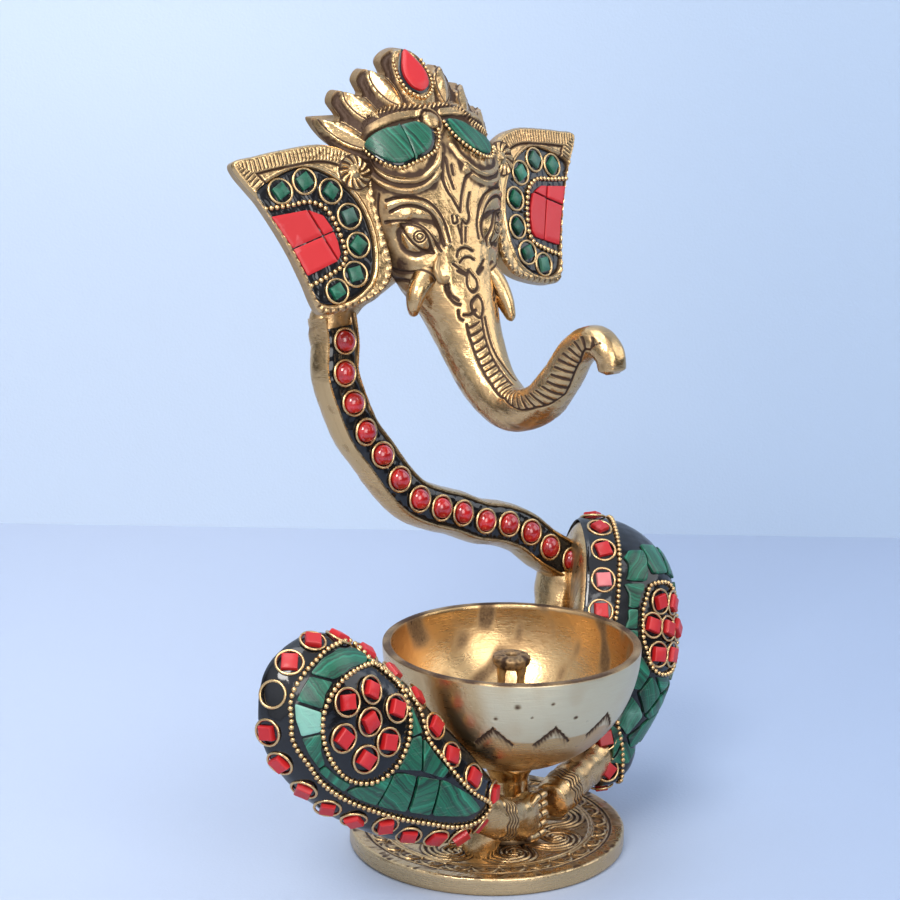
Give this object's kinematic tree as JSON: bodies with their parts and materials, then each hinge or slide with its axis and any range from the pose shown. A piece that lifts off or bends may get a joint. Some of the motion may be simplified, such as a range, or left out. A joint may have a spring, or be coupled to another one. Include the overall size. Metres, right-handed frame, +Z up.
{
  "type": "oil lamp",
  "caption": "Cast brass oil lamp: a seated elephant-headed figure with a round lamp bowl in its lap, with coral and green stone inlay.",
  "frame": {"origin": "centre of the base plate's underside", "axes": "+Z up, the figure faces -Y, its own left side is +X"},
  "size_m": [0.1839, 0.1077, 0.2435],
  "materials": {
    "brass_cast": "cast brass, buffed on the raised parts, dark in the hollows",
    "coral_red": "polished coral",
    "stone_red": "sawn red stone",
    "malachite_green": "banded green stone",
    "lac_black": "black lac"
  },
  "bodies": {
    "figure": {"base_plate": "brass_cast", "bowl_stand": "brass_cast", "coral_stone_01": "coral_red", "coral_stone_02": "coral_red", "coral_stone_03": "coral_red", "coral_stone_04": "coral_red", "coral_stone_05": "coral_red", "coral_stone_06": "coral_red", "coral_stone_07": "coral_red", "coral_stone_08": "coral_red", "coral_stone_09": "coral_red", "coral_stone_10": "coral_red", "coral_stone_11": "coral_red", "coral_stone_12": "coral_red", "coral_stone_13": "coral_red", "coral_stone_14": "coral_red", "crown_stone": "stone_red", "crown_wire": "brass_cast", "head": "brass_cast", "left_brow_stone": "malachite_green", "left_brow_wire": "brass_cast", "left_ear": "brass_cast", "left_ear_lac": "lac_black", "left_ear_red_patch": "stone_red", "left_ear_settings": "brass_cast", "left_ear_wire": "brass_cast", "left_knee_inner_wire": "brass_cast", "left_knee_lac": "lac_black", "left_knee_malachite": "malachite_green", "left_knee_outer_wire": "brass_cast", "left_knee_rim_setting": "brass_cast", "left_knee_rosette": "brass_cast", "left_leg": "brass_cast", "right_brow_stone": "malachite_green", "right_brow_wire": "brass_cast", "right_ear": "brass_cast", "right_ear_lac": "lac_black", "right_ear_red_patch": "stone_red", "right_ear_settings": "brass_cast", "right_ear_wire": "brass_cast", "right_knee_inner_wire": "brass_cast", "right_knee_lac": "lac_black", "right_knee_malachite": "malachite_green", "right_knee_outer_wire": "brass_cast", "right_knee_rim_setting": "brass_cast", "right_knee_rosette": "brass_cast", "right_leg": "brass_cast", "spine": "brass_cast", "spine_bezels": "brass_cast", "spine_lac": "lac_black"},
    "bowl": {"bowl": "brass_cast"},
    "wick_holder": {"wick_holder": "brass_cast"}
  },
  "joints": [
    {"name": "bowl_lift", "type": "slide", "parent": "figure", "child": "bowl", "axis": [0, 0, 1], "range_m": [0, 0.018]},
    {"name": "wick_holder_lift", "type": "slide", "parent": "bowl", "child": "wick_holder", "axis": [0, 0, 1], "range_m": [0, 0.03]}
  ]
}
